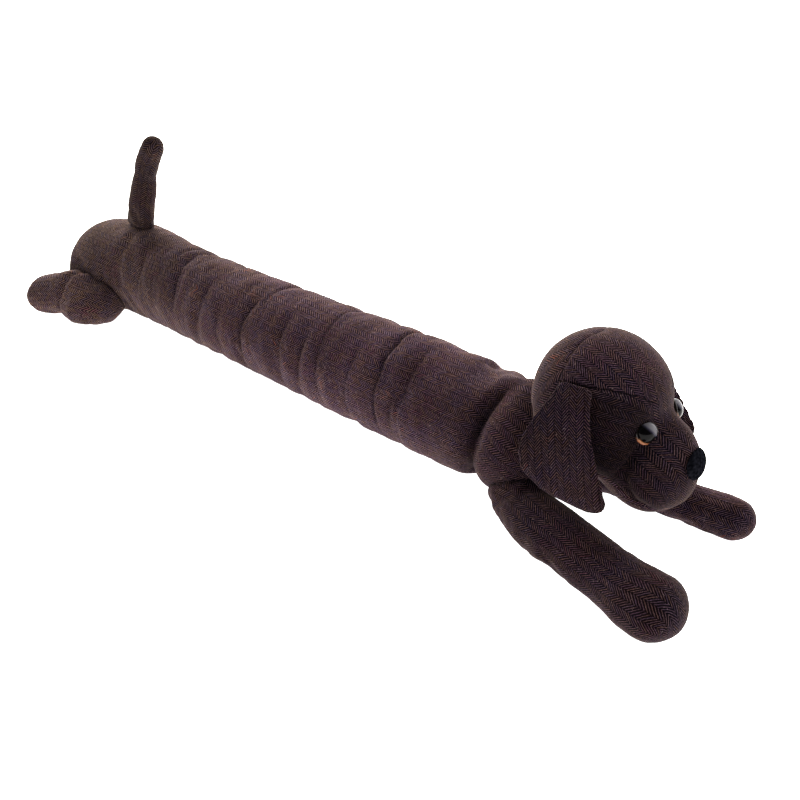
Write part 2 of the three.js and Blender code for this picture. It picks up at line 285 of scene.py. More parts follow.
def sampled(points, tree, base, quads, values):
    """Values of another mesh at the points of this one, weighed by the nearest face's corners."""
    result = np.zeros(len(points))
    for i, point in enumerate(points):
        spot, _, face, _ = tree.find_nearest(Vector(point))
        corners = quads[face]
        away = np.linalg.norm(base[corners] - np.array(spot), axis=1)
        weight = 1 / (away + 1e-5) ** 2
        result[i] = weight @ values[corners] / weight.sum()
    return result


def stuffed(node, voxel, smoothing, neighbours=(), cap=4 * MM, wrinkle=1.0, coarse=5 * MM):
    """A fine closed skin over a CAD node: remeshed and smoothed, and wrinkled as cloth that is blown up
    where neighbours names the nodes that it is sewn to. coarse is the voxel of that simulation."""
    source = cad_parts[node].data
    piece = remeshed(f"{node}_cloth", source, voxel)
    mesh = piece.data
    edges = edges_of(mesh)
    base = smoothed(points_of(mesh), edges, smoothing)
    set_points(mesh, base)
    if neighbours:
        crisp = sampled(base, *puffed(node, source, coarse, neighbours, cap))
        set_points(mesh, base + normals_of(mesh) * (wrinkle * blurred(crisp, edges, 2))[:, None])
    piece.modifiers.new("Subdivision", "SUBSURF").levels = 1
    mesh = applied(piece)
    mesh.shade_smooth()
    return piece


def add_value(mesh, name, values):
    attribute = mesh.attributes.new(name, "FLOAT", "POINT")
    attribute.data.foreach_set("value", np.asarray(values, dtype=np.float32))


def add_vector(mesh, name, values):
    attribute = mesh.attributes.new(name, "FLOAT_VECTOR", "POINT")
    attribute.data.foreach_set("vector", np.asarray(values, dtype=np.float32).ravel())


def set_weave(mesh, corner_u, corner_v):
    layer = mesh.uv_layers.new(name="weave")
    flat = np.empty(len(mesh.loops) * 2, dtype=np.float32)
    flat[0::2] = corner_u.ravel()
    flat[1::2] = corner_v.ravel()
    layer.data.foreach_set("uv", flat)


# Folds across the tube

def tube_angle(points):
    """Degrees round the tube: 0 on the dog's right at mid height, 90 on top, 180 on its left."""
    angle = np.degrees(np.arctan2(points[:, 2] - TUBE_MIDDLE * MM, -points[:, 1]))
    return np.where(angle < -90, angle + 360, angle)


def fold_lines(points):
    """For each fold: how far along X each point is from it, its share there, its depth and width."""
    angle = tube_angle(points)
    for x, lean, low, high, depth, width, far in FOLDS:
        for mirrored in (False, True) if far else (False,):
            turn = 180 - angle if mirrored else angle
            rise = smoothstep(low - 10, low + 14, turn)
            present = rise * (1 - smoothstep(high - 14, high + 10, turn))
            line = x * MM + ORIGIN_SHIFT + lean * MM * np.radians(turn)
            yield points[:, 0] - line, present, depth * MM, width * MM


# The rump swells out low at the back, over the hind legs, and reaches further back
RUMP_SIDE = np.array([-434, -60, 42]) * MM
RUMP_SWELLS = np.array([-0.55, -0.62, -0.55]) * 15 * MM
RUMP_SIZE = 26 * MM
RUMP_LONGER = 4 * MM

# The neck: the solid's fold on top of it is smoothed away, and a notch lies beyond it on the far side
NECK_FOLD = 246 * MM
NECK_FOLD_WIDTH = 14 * MM
NOTCH_AT = 232 * MM
NOTCH_TURN = math.radians(121)
NOTCH_WIDTH = 0.27  # radians round the tube
NOTCH_DEPTH = 7.5 * MM
NAPE_RISE = 4.5 * MM

# The tube's creases
DEEP_FOLD = 9 * MM  # a fold deeper than this is the neck's own
CREASE_WIDTH = 2.8 * MM
CREASE_DRIFT = 7 * MM  # how far a crease wanders off its straight line
BUMPS = 1.5 * MM
RILLS = 1.2 * MM


def flipped_y(points):
    """Factors that mirror the points of the left side onto the right one."""
    side = np.where(points[:, 1] > 0, -1.0, 1.0)
    return np.stack([np.ones(len(points)), side, np.ones(len(points))], axis=1)


def without_neck_fold(mesh):
    """The tube's points, smoothed where the solid has its fold on top of the neck."""
    points = points_of(mesh)
    turn = tube_angle(points)
    on_top = smoothstep(45, 62, turn) * (1 - smoothstep(112, 132, turn))
    around = np.exp(-((points[:, 0] - NECK_FOLD - ORIGIN_SHIFT) / NECK_FOLD_WIDTH) ** 4)
    calm = blurred(points, edges_of(mesh), 60)
    return points + (on_top * around)[:, None] * (calm - points)


def creased(points):
    """How far the folds push each point of the tube out, and how much painted shade lies in their creases.
    """
    drift = field_noise(points, (14, 30, 30), 3.1) * CREASE_DRIFT
    patchy = 0.55 + 0.45 * smoothstep(-0.25, 0.35, field_noise(points, 22, 8.4))
    outward = np.zeros(len(points))
    crease_shade = np.zeros(len(points))
    for along, present, depth, width in fold_lines(points):
        deep = depth > DEEP_FOLD
        filled = 0.0 if deep else 0.55 * depth * np.exp(-(along / width) ** 2)
        sharp = np.exp(-np.abs(along + drift * (not deep)) / CREASE_WIDTH)
        pulled = 0.62 * np.minimum(depth, 5 * MM) * sharp
        outward += present * (filled - pulled)
        if deep:
            behind = np.minimum(along, 0) / (7 * MM)
            ahead = np.maximum(along, 0) / (3 * MM)
            shade = np.exp(-behind ** 2 - ahead ** 2)
            crease_shade = np.maximum(crease_shade, 1.1 * present * np.maximum(0.9 * shade, sharp))
        else:
            crease_shade = np.maximum(crease_shade, present * sharp * patchy * min(1, depth / (5 * MM)))
    return outward, crease_shade


def neck_shape(points, angle):
    """How far the nape stands out, and how deep the notch on the neck's far side is."""
    nape = np.exp(-((angle - math.pi / 2) / 0.6) ** 2) * smoothstep(0.258, 0.285, points[:, 0])
    behind = points[:, 0] - NOTCH_AT
    step = smoothstep(-3 * MM, 2 * MM, behind) * (1 - smoothstep(2 * MM, 28 * MM, behind))
    return NAPE_RISE * nape, NOTCH_DEPTH * step * np.exp(-((angle - NOTCH_TURN) / NOTCH_WIDTH) ** 2)


def tube_bumps(points, angle):
    """The uneven filling between the folds."""
    across = np.stack([points[:, 0] * 48, angle * 1.1, np.zeros(len(points))], axis=1)
    ripple = np.array([noise.noise(Vector(p)) for p in across])
    fine = np.stack([points[:, 0] * 120, angle * 2.0, np.ones(len(points))], axis=1)
    rill = np.array([noise.noise(Vector(p)) for p in fine])
    straight = smoothstep(-0.44, -0.30, points[:, 0]) * (1 - smoothstep(0.20, 0.26, points[:, 0]))
    return (BUMPS * ripple - RILLS * np.abs(rill)) * straight


def rump_swell(points):
    flip = flipped_y(points)
    to_thigh = np.linalg.norm(points * flip - RUMP_SIDE, axis=1)
    swells = np.exp(-(to_thigh / RUMP_SIZE) ** 2)[:, None] * RUMP_SWELLS * flip
    swells[:, 0] -= RUMP_LONGER * smoothstep(-385 * MM, -445 * MM, points[:, 0])
    return swells


def dress_body(mesh):
    points = without_neck_fold(mesh)
    set_points(mesh, points)
    normal = normals_of(mesh)
    angle = np.radians(tube_angle(points))
    outward, crease_shade = creased(points)
    nape, notch = neck_shape(points, angle)
    outward += nape
    outward -= notch
    rest = smoothstep(1 * MM, 14 * MM, points[:, 2])
    outward = (tube_bumps(points, angle) + outward) * rest
    moved = points + normal * outward[:, None] + rump_swell(points)
    moved[:, 2] = np.maximum(moved[:, 2], 0)
    set_points(mesh, moved)
    # The seam attribute here is painted shade in the creases
    add_value(mesh, "seam", 0.8 * crease_shade)
    tube_weave(mesh, points)


def coarseness(x):
    """How much larger than true the lines of the weave are drawn at a place along the tube."""
    return COARSER * (1 - smoothstep(-0.20, 0.30, x))


def tube_weave(mesh, points):
    """Columns run along the tube and on over its rounded end, and the cloth is wrapped round it."""
    radius = TUBE_RADIUS * MM
    cap_from = -446 * MM
    cap = 62 * MM
    angle = np.arctan2(points[:, 1], points[:, 2] - TUBE_MIDDLE * MM)
    beyond = np.clip((cap_from - points[:, 0]) / cap, 0, 1)
    along = np.where(points[:, 0] > cap_from, points[:, 0], cap_from - cap * np.arcsin(beyond))
    stations = np.linspace(-0.6, 0.4, 401)
    line_count = np.cumsum((stations[1] - stations[0]) / (1 + coarseness(stations)))
    along = np.interp(along, stations, line_count)
    turned_down = 0.3 * np.maximum(0, points[:, 0] - 0.255)
    quads = quads_of(mesh)
    v = radius * angle[quads]
    wraps = (v.max(axis=1) - v.min(axis=1)) > math.pi * radius
    v = np.where(wraps[:, None] & (v < 0), v + 2 * math.pi * radius, v)
    v -= (np.sin(angle) * turned_down)[quads]
    set_weave(mesh, along[quads], v)
    add_value(mesh, "coarser", coarseness(points[:, 0]))


# Weave and dress of the limbs

ROOT_SHADE = 0.6  # painted shade on the limb where it meets the body
ROOT_SHADE_WIDTH = 3 * MM
ROOT_FILL_WIDTH = 9 * MM


def limb_tangents(points, line):
    """The limb's direction at each point, turning smoothly along its centre line."""
    line = np.array(line, dtype=float) * MM
    line[:, 0] += ORIGIN_SHIFT
    middles = (line[1:] + line[:-1]) / 2
    spans = line[1:] - line[:-1]
    spans /= np.linalg.norm(spans, axis=1)[:, None]
    away = np.linalg.norm(points[:, None, :] - middles[None, :, :], axis=2)
    weight = np.exp(-(away / (22 * MM)) ** 2) + 1e-9
    tangent = weight @ spans
    return tangent / np.linalg.norm(tangent, axis=1)[:, None]


def limb_weave(mesh, line, up, toe, coarser):
    """Columns run along the limb and on over its end: one panel above, one below."""
    points = points_of(mesh)
    normal = normals_of(mesh)
    tangent = limb_tangents(points, line)
    up = np.array(up, dtype=float)
    if toe is not None:
        root = np.array(line[0]) * MM
        reach = np.linalg.norm(points - root, axis=1)
        in_paw = smoothstep(0.68, 0.9, reach / reach.max())[:, None]
        tangent = (1 - in_paw) * tangent + in_paw * np.array(toe)
    at_end = smoothstep(0.6, 0.95, np.sum(normal * tangent, axis=1))[:, None]
    along = [
        (1 - at_end) * tangent - at_end * up,
        (1 - at_end) * tangent + at_end * up,
    ]
    under = face_normals(mesh) @ up < -0.3
    u, v = panel_weave(mesh, under.astype(int), along)
    set_weave(mesh, u / (1 + coarser), v)
    add_value(mesh, "coarser", np.full(len(points), coarser))


# The hind leg's thigh runs on from the rump: its top swells up, and its outer side is drawn in
THIGH_TOP = np.array([-416, -86, 50]) * MM
THIGH_SWELLS = np.array([0.10, 0.05, 0.99]) * 17 * MM
THIGH_SIZE = 26 * MM
THIGH_SIDE = np.array([-397, -114, 36]) * MM
THIGH_DRAWN_IN = np.array([0.74, 0.67, 0.0]) * 8 * MM


def thigh_swollen(points):
    flip = flipped_y(points)
    moves = np.zeros(points.shape)
    for place, move in ((THIGH_TOP, THIGH_SWELLS), (THIGH_SIDE, THIGH_DRAWN_IN)):
        away = np.linalg.norm(points * flip - place, axis=1)
        moves += np.exp(-(away / THIGH_SIZE) ** 2)[:, None] * move
    return points + flip * moves


# The tail's base spreads out where it is sewn to the rump, and slants down with the rump
TAIL_BASE = 119 * MM
TAIL_BASE_HEIGHT = 9 * MM
TAIL_SPREAD = 0.22
TAIL_SLANT = 0.30


def tail_spread(points):
    at_base = np.exp(-(np.maximum(0, points[:, 2] - TAIL_BASE) / TAIL_BASE_HEIGHT) ** 2)
    beside = points @ WINDOW_SIDE - np.array(TAIL[0]) @ WINDOW_SIDE * MM
    spread = points + np.outer(at_base * beside * TAIL_SPREAD, WINDOW_SIDE)
    spread[:, 2] -= at_base * np.clip(beside, -12 * MM, 14 * MM) * TAIL_SLANT
    return spread


def dress_limb(mesh, line, seed, up=(0, 0, 1), toe=None, ripple=0.7, root_fill=0.0, coarser=0.0,
               shade=0.0, reshape=None):
    """root_fill is how far the skin swells out where it meets the body. reshape moves its points first."""
    if reshape:
        set_points(mesh, reshape(points_of(mesh)))
    points = points_of(mesh)
    normal = normals_of(mesh)
    rest = smoothstep(0.5 * MM, 10 * MM, points[:, 2])
    soft = field_noise(points, 45, seed) * ripple * MM
    fine = -np.abs(field_noise(points, 120, seed + 7)) * 0.5 * ripple * MM
    if root_fill:
        gap = blurred(nearest_gap(points, ["body"]), edges_of(mesh), 6)
        soft += root_fill * np.exp(-(gap / ROOT_FILL_WIDTH) ** 2)
    moved = points + normal * ((soft + fine) * rest)[:, None]
    moved[:, 2] = np.maximum(moved[:, 2], 0)
    set_points(mesh, moved)
    # The seam attribute here is painted shade: at the limb's root, and over the whole limb as much as
    # shade asks
    at_root = np.exp(-(nearest_gap(moved, ["body"]) / ROOT_SHADE_WIDTH) ** 2)
    add_value(mesh, "seam", np.maximum(shade, ROOT_SHADE * at_root))
    limb_weave(mesh, line, up, toe, coarser)


# Panels sewn to one another: the head and the ears

def panel_weave(mesh, panels, along, rounds=400):
    """Weave coordinates on each panel of cloth, by least squares.

    panels numbers the panel of each face, and along holds for each panel the direction that its
    columns run in, one for all or one for each vertex. Every edge should advance by its own length
    along the cloth's two directions."""
    points = points_of(mesh)
    normal = normals_of(mesh)
    quads = quads_of(mesh)
    many = int(panels.max()) + 1
    keys, corner = np.unique(quads * many + panels[:, None], return_inverse=True)
    corner = corner.reshape(quads.shape)
    vertex = keys // many
    ways = np.stack([np.broadcast_to(way, points.shape) for way in along])[keys % many, vertex]
    flat = ways - normal[vertex] * np.sum(ways * normal[vertex], axis=1)[:, None]
    strength = np.linalg.norm(flat, axis=1)
    u_way = flat / np.maximum(strength, 1e-6)[:, None]
    v_way = np.cross(normal[vertex], u_way)
    pairs = np.concatenate([corner[:, [k, (k + 1) % 4]] for k in range(4)])
    pairs = np.unique(np.sort(pairs, axis=1), axis=0)
    step = points[vertex[pairs[:, 1]]] - points[vertex[pairs[:, 0]]]
    trust = np.minimum(strength[pairs[:, 0]], strength[pairs[:, 1]]) ** 2 + 0.01
    fields = []
    for way in (u_way, v_way):
        wanted = np.sum(step * (way[pairs[:, 0]] + way[pairs[:, 1]]) / 2, axis=1)
        fields.append(solved(wanted, trust, pairs, len(keys), rounds))
    return fields[0][corner], fields[1][corner]


def solved(wanted, trust, pairs, count, rounds):
    """Heights whose difference over each pair is as near as it can be to the wanted one."""
    def pull(values):
        flow = trust * (values[pairs[:, 1]] - values[pairs[:, 0]])
        return (np.bincount(pairs[:, 1], weights=flow, minlength=count)
                - np.bincount(pairs[:, 0], weights=flow, minlength=count))

    goal = (np.bincount(pairs[:, 1], weights=trust * wanted, minlength=count)
            - np.bincount(pairs[:, 0], weights=trust * wanted, minlength=count))
    values = np.zeros(count)
    left = goal.copy()
    way = left.copy()
    size = left @ left
    for _ in range(rounds):
        if size < 1e-16:
            break
        pulled = pull(way)
        share = size / max(way @ pulled, 1e-30)
        values += share * way
        left -= share * pulled
        fresh = left @ left
        way = left + (fresh / size) * way
        size = fresh
    return values


def seam_gap(mesh, panels):
    """How far each vertex is from the nearest border between two panels."""
    quads = quads_of(mesh)
    low = np.full(len(mesh.vertices), 99)
    high = np.full(len(mesh.vertices), -1)
    for k in range(4):
        np.minimum.at(low, quads[:, k], panels)
        np.maximum.at(high, quads[:, k], panels)
    points = points_of(mesh)
    on_border = np.flatnonzero(low != high)
    tree = KDTree(len(on_border))
    for i in on_border:
        tree.insert(Vector(points[i]), int(i))
    tree.balance()
    return np.array([tree.find(Vector(p))[2] for p in points])


CROWN, BACK, CHEEK, THROAT, MUZZLE, FAR_MUZZLE = range(6)

# Attributes that say where a sewn line runs: how far off to the side, how far past its end, and 1
SEAM_LINES = ("back_line", "dart_line", "jaw_line")

# Seams of the head, in millimetres: the dart from ear to eye, the cheek's front edge and the jaw
DART = [(352, 161), (382, 164.5), (392, 165), (402, 163.5), (410, 161.5), (416, 158), (419, 154.5)]
DART_END = 419.5
CHEEK_FRONT = [(50, 394), (60, 396), (81, 404), (105, 416), (130, 423), (154.5, 419.5), (190, 419)]
JAW = [(300, 84), (395, 81), (408, 81), (414, 75.6), (420, 71), (425, 67), (445, 60), (470, 59)]
STOP = 129  # height of the dip between forehead and muzzle
MIDDLE = 14  # half width of the strip that runs between the eyes
BACK_SEAM_LOW = 75
CHEEK_TOP = 122
SOCKET = 2.8  # how deep the cloth is drawn in round an eye
CROWN_LIGHT = 0.6  # painted light: the top of the head, which the light falls on most, is made lighter
CHEEK_SHADE = 0.6  # the cheek lies in the shade of the brow and the ear
FOLD_DEPTH = 1.5
FOLD_SHADE = 0.35
UNDER_JAW_LIGHT = 0.9  # the floor lights the underside of the jaw
CHIN_RIM_HIGHLIGHT = 2.0  # painted highlight: a thin light line along the seam under the chin, where its edge catches the floor's light


def along_table(table, value):
    xs = [row[0] * MM for row in table]
    ys = [row[1] * MM for row in table]
    return np.interp(value, xs, ys)


# Each seam as a height over its line: 0 on the seam, in metres
def over_back(p):
    return p[:, 0] - (351 + 7 * np.exp(-(p[:, 1] / (17 * MM)) ** 2)) * MM


def over_dart(p):
    return p[:, 2] - along_table(DART, p[:, 0])


def over_front(p):
    return p[:, 0] - along_table(CHEEK_FRONT, p[:, 2])


def over_jaw(p):
    return p[:, 2] - along_table(JAW, p[:, 0])


def line_gap(over, points, normal):
    """How far each point is, along the surface, from the line where over(points) is 0."""
    small = 1.5 * MM
    slope = np.stack([
        (over(points + small * axis) - over(points - small * axis)) / (2 * small) for axis in np.eye(3)
    ], axis=1)
    slope -= normal * np.sum(slope * normal, axis=1)[:, None]
    return over(points) / np.maximum(np.linalg.norm(slope, axis=1), 0.3)


def head_panels(mesh):
    points = points_of(mesh)[quads_of(mesh)].mean(axis=1)
    panels = np.full(len(points), CROWN)
    panels[points[:, 2] < STOP * MM] = MUZZLE
    panels[(points[:, 2] < STOP * MM) & (points[:, 1] > 0)] = FAR_MUZZLE
    aside = np.abs(points[:, 1]) > MIDDLE * MM
    panels[(over_dart(points) < 0) & (over_front(points) < 0) & aside] = CHEEK
    panels[over_jaw(points) < 0] = THROAT
    panels[over_back(points) < 0] = BACK
    return panels


EYE = np.array([422.4, 26.5, 129.4]) * MM


def beyond(*excesses):
    """How far a point lies past the ends of a seam: 0 alongside it."""
    return np.sqrt(sum(np.maximum(0, excess) ** 2 for excess in excesses))


# The fold behind the jowl, from under the eye down to the jaw
JOWL_FOLD = np.array([
    (427, 33.5, 122), (422.6, 37.2, 114), (419.5, 40.6, 106.5), (418.2, 41.3, 101.7),
    (418, 39.3, 87.3), (421.4, 37.4, 77.8), (425.9, 34.9, 70.2), (432.2, 31.3, 64.4),
]) * MM


def path_gap(points, path):
    """How far each point is from a path of straight stretches."""
    nearest = np.full(len(points), 1.0)
    for start, end in zip(path, path[1:]):
        span = end - start
        share = np.clip((points - start) @ span / (span @ span), 0, 1)[:, None]
        nearest = np.minimum(nearest, np.linalg.norm(points - start - share * span, axis=1))
    return nearest


def head_seams(points, normal):
    """Each seam: how far each point is off to its side and past its ends, and how hard it pulls."""
    back = line_gap(over_back, points, normal)
    dart = line_gap(over_dart, points, normal)
    front = line_gap(over_front, points, normal)
    jaw = line_gap(over_jaw, points, normal)
    middle = MIDDLE * MM - np.abs(points[:, 1])
    return [
        (back, beyond(BACK_SEAM_LOW * MM - points[:, 2]), 0.55),
        (dart, beyond(-back, points[:, 0] - DART_END * MM, middle), 1.0),
        (jaw, beyond(-back), 1.0),
        (front, beyond(points[:, 2] - CHEEK_TOP * MM, -jaw, middle), 0.45),
    ]


def seam_groove(seams, points):
    """How deep the seams draw the cloth in, and how much it puckers beside them, in millimetres."""
    groove = np.zeros(len(points))
    nearest = np.full(len(points), 1.0)
    for gap, past, strength in seams:
        away = np.hypot(gap, past)
        pulled = 0.9 * np.exp(-(away / (1.3 * MM)) ** 2) + 0.8 * np.exp(-away / (4 * MM))
        groove = np.maximum(groove, strength * pulled)
        nearest = np.minimum(nearest, away)
    pucker = field_noise(points, 150, 4.0) * 0.5 * np.exp(-nearest / (6 * MM))
    return groove, pucker


def eye_socket(points):
    mirrored = points * np.array([1, -1, 1])
    to_eye = np.minimum(np.linalg.norm(points - EYE, axis=1), np.linalg.norm(mirrored - EYE, axis=1))
    return SOCKET * np.exp(-(to_eye / (12 * MM)) ** 2)


def jowl_shape(points, front):
    """The jowl that stands out ahead of its fold, and the fold itself, from 0 to 1.5."""
    one_side = np.stack([points[:, 0], np.abs(points[:, 1]), points[:, 2]], axis=1)
    to_fold = path_gap(one_side, JOWL_FOLD)
    fold = np.exp(-(to_fold / (5 * MM)) ** 2) + 0.5 * np.exp(-(to_fold / (2 * MM)) ** 2)
    jowl = np.exp(-((to_fold - 12 * MM) / (7 * MM)) ** 2) * smoothstep(-1 * MM, 4 * MM, front)
    return jowl, fold


def head_shade(points, back, dart, jaw, front, fold):
    """Painted shade where the head is darker than its cloth, and painted light where, below 0, it is
    lighter.
    """
    x = points[:, 0]
    below_dart = smoothstep(-1 * MM, 10 * MM, -dart) * smoothstep(-14 * MM, 8 * MM, -front)
    aside = smoothstep(12 * MM, 26 * MM, np.abs(points[:, 1])) * smoothstep(0, 8 * MM, back)
    shade = CHEEK_SHADE * below_dart * aside + FOLD_SHADE * fold
    under_jaw = smoothstep(1 * MM, 4 * MM, -jaw) * smoothstep(0.37, 0.385, x)
    shade = shade * (1 - under_jaw) - UNDER_JAW_LIGHT * under_jaw * (1 - smoothstep(0.43, 0.45, x))
    shade -= CHIN_RIM_HIGHLIGHT * np.exp(-((jaw + 1.6 * MM) / (0.9 * MM)) ** 2) * smoothstep(0.385, 0.40, x)
    shade -= CROWN_LIGHT * smoothstep(145 * MM, 200 * MM, points[:, 2])
    return shade


def head_columns(normal):
    """For each panel, the direction that its columns of weave run in."""
    down = smoothstep(0.5, 0.95, normal[:, 0])[:, None]
    muzzle = (1 - down) * np.array((0.9, 0, -0.43)) + down * np.array((0, 0, -1))
    ways = {
        CROWN: (0.906, 0, -0.42),
        BACK: (-0.6, 0, -0.8),
        CHEEK: (1, 0, -0.155),
        THROAT: (1, 0, 0),
        MUZZLE: muzzle,
        FAR_MUZZLE: muzzle,
    }
    return [np.array(ways[panel]) for panel in sorted(ways)]


def dress_head(mesh):
    panels = head_panels(mesh)
    points = points_of(mesh)
    normal = normals_of(mesh)
    seams = head_seams(points, normal)
    back, dart, jaw, front = [gap for gap, _, _ in seams]
    groove, pucker = seam_groove(seams, points)
    soft = field_noise(points, 32, 9.0) * 0.8
    jowl, fold = jowl_shape(points, front)
    soft += jowl - FOLD_DEPTH * fold
    moved = points + normal * ((soft + pucker - groove - eye_socket(points)) * MM)[:, None]
    set_points(mesh, moved)
    # The seam attribute here holds painted shade and painted light, not seams
    add_value(mesh, "seam", head_shade(points, back, dart, jaw, front, fold))
    for name, (gap, past, _) in zip(SEAM_LINES, seams):
        add_vector(mesh, name, np.stack([gap, past, np.ones(len(points))], axis=1))
    u, v = panel_weave(mesh, panels, head_columns(normal))
    set_weave(mesh, u, v)


EAR_RIM = 3.0 * MM  # how far inside its edge an ear is stitched
EAR_COLUMNS = (0.30, 0, -1)
EAR_CORNER = 405 * MM  # the near ear's lower front corner lies ahead of this
EAR_CORNER_SIZE = 18 * MM
CORNER_LIFT = 4 * MM
CORNER_PULL = 3 * MM


def corner_lifted(points):
    corner = np.maximum(0, points[:, 0] - EAR_CORNER) / EAR_CORNER_SIZE
    low = 1 - smoothstep(70 * MM, 110 * MM, points[:, 2])
    lifted = points.copy()
    lifted[:, 2] += CORNER_LIFT * corner ** 2 * low
    lifted[:, 0] -= CORNER_PULL * corner * low
    return lifted


def dress_ear(mesh, side):
    points = points_of(mesh)
    if side < 0:
        points = corner_lifted(points)
    set_points(mesh, points)
    normal = normals_of(mesh)
    outer = face_normals(mesh)[:, 1] * side > 0
    panels = outer.astype(int)
    rim = blurred(seam_gap(mesh, panels), edges_of(mesh), 2)
    groove = 0.45 * np.exp(-((rim - EAR_RIM) / (1.0 * MM)) ** 2)
    soft = field_noise(points, 40, 2.0 + side) * 0.7
    set_points(mesh, points + normal * ((soft - groove) * MM)[:, None])
    add_value(mesh, "seam", 0.3 * np.exp(-((rim - EAR_RIM) / (0.8 * MM)) ** 2))
    u, v = panel_weave(mesh, panels, [np.array(EAR_COLUMNS)] * 2)
    set_weave(mesh, u, v)


# Materials

class Nodes:
    """A material's nodes, added and linked in one call each."""

    def __init__(self, name):
        self.material = bpy.data.materials.new(name)
        self.material.use_nodes = True
        self.tree = self.material.node_tree
        self.shader = self.tree.nodes["Principled BSDF"]

    def add(self, kind, inputs=(), **settings):
        node = self.tree.nodes.new(kind)
        for key, value in settings.items():
            setattr(node, key, value)
        for socket, value in dict(inputs).items():
            self.set(node, socket, value)
        return node

    def set(self, node, socket, value):
        if isinstance(value, bpy.types.NodeSocket):
            self.tree.links.new(value, node.inputs[socket])
        else:
            node.inputs[socket].default_value = value

    def math(self, operation, a, b=0.0, c=0.0):
        node = self.add("ShaderNodeMath", {0: a, 1: b, 2: c}, operation=operation)
        return node.outputs[0]

    def mixed(self, share, a, b, blend="MIX"):
        node = self.add("ShaderNodeMix", data_type="RGBA", blend_type=blend)
        self.set(node, 0, share)
        self.set(node, 6, a)
        self.set(node, 7, b)
        return node.outputs[2]

    def ramp(self, value, stops):
        node = self.add("ShaderNodeValToRGB", {0: value})
        elements = node.color_ramp.elements
        while len(elements) < len(stops):
            elements.new(0.5)
        for element, (at, color) in zip(elements, stops):
            element.position = at
            element.color = (*color, 1)
        return node.outputs[0]

    def ranged(self, value, low, high, to_low=0.0, to_high=1.0):
        node = self.add(
            "ShaderNodeMapRange",
            {0: value, 1: low, 2: high, 3: to_low, 4: to_high},
            interpolation_type="SMOOTHSTEP",
        )
        return node.outputs[0]

    def attribute(self, name):
        return self.add("ShaderNodeAttribute", attribute_name=name).outputs["Fac"]

    def place(self):
        return self.add("ShaderNodeTexCoord").outputs["Object"]

    def distance(self, a, b):
        squares = [self.math("POWER", self.math("ABSOLUTE", side), 2.0) for side in (a, b)]
        return self.math("SQRT", self.math("ADD", *squares))

    def finish(self, **inputs):
        """Sets the shader's sockets, named with _ for a space, and gives the material."""
        for socket, value in inputs.items():
            self.set(self.shader, socket.replace("_", " "), value)
        return self.material

    def bump(self, height, strength, distance):
        node = self.add("ShaderNodeBump", {"Strength": strength, "Distance": distance, "Height": height})
        return node.outputs[0]

    def noise(self, vector, scale, detail=2.0):
        node = self.add("ShaderNodeTexNoise", {"Vector": vector, "Scale": scale, "Detail": detail})
        return node.outputs[0]


LIGHT_YARNS = [
    (0.00, (0.088, 0.036, 0.044)),
    (0.22, (0.072, 0.039, 0.056)),
    (0.42, (0.096, 0.052, 0.044)),
    (0.60, (0.064, 0.039, 0.061)),
    (0.78, (0.114, 0.068, 0.068)),
    (0.97, (0.156, 0.046, 0.032)),
]
DARK_YARN = (0.0036, 0.0011, 0.0018, 1)
DARK_YARN_COOL = (0.0022, 0.0010, 0.0036, 1)
SPECK = (0.20, 0.15, 0.14, 1)
NAP_SHEEN = (0.115, 0.092, 0.070, 1)  # painted sheen: the colour of the fibres that stand off the cloth, laid on where it turns away
NAP_SHEEN_SHARE = 0.30
EDGE_LIGHT = 1.7  # painted rim light: how much lighter the cloth is where it turns away
BROKEN = 0.2  # how far the lines of one column are out of step with the next, in lines
FRONT_LEVEL = 0.77  # the head's end of the dog is the darker one, in less light


def sewn(n):
    """How much of a dark sewn line there is: each line is an attribute, drawn as short stitches."""
    place = n.place()
    stitch = n.ranged(n.noise(place, 420.0, 1.0), 0.38, 0.52, 0.35, 1.0)
    total = 0.0
    for name in SEAM_LINES:
        line = n.add("ShaderNodeAttribute", attribute_name=name).outputs["Vector"]
        parts = n.add("ShaderNodeSeparateXYZ", {0: line}).outputs
        near = n.ranged(n.distance(parts[0], parts[1]), 0.25 * MM, 1.1 * MM, 1.0, 0.0)
        total = n.math("MAXIMUM", total, n.math("MULTIPLY", near, parts[2]))
    return n.math("MULTIPLY", total, stitch)


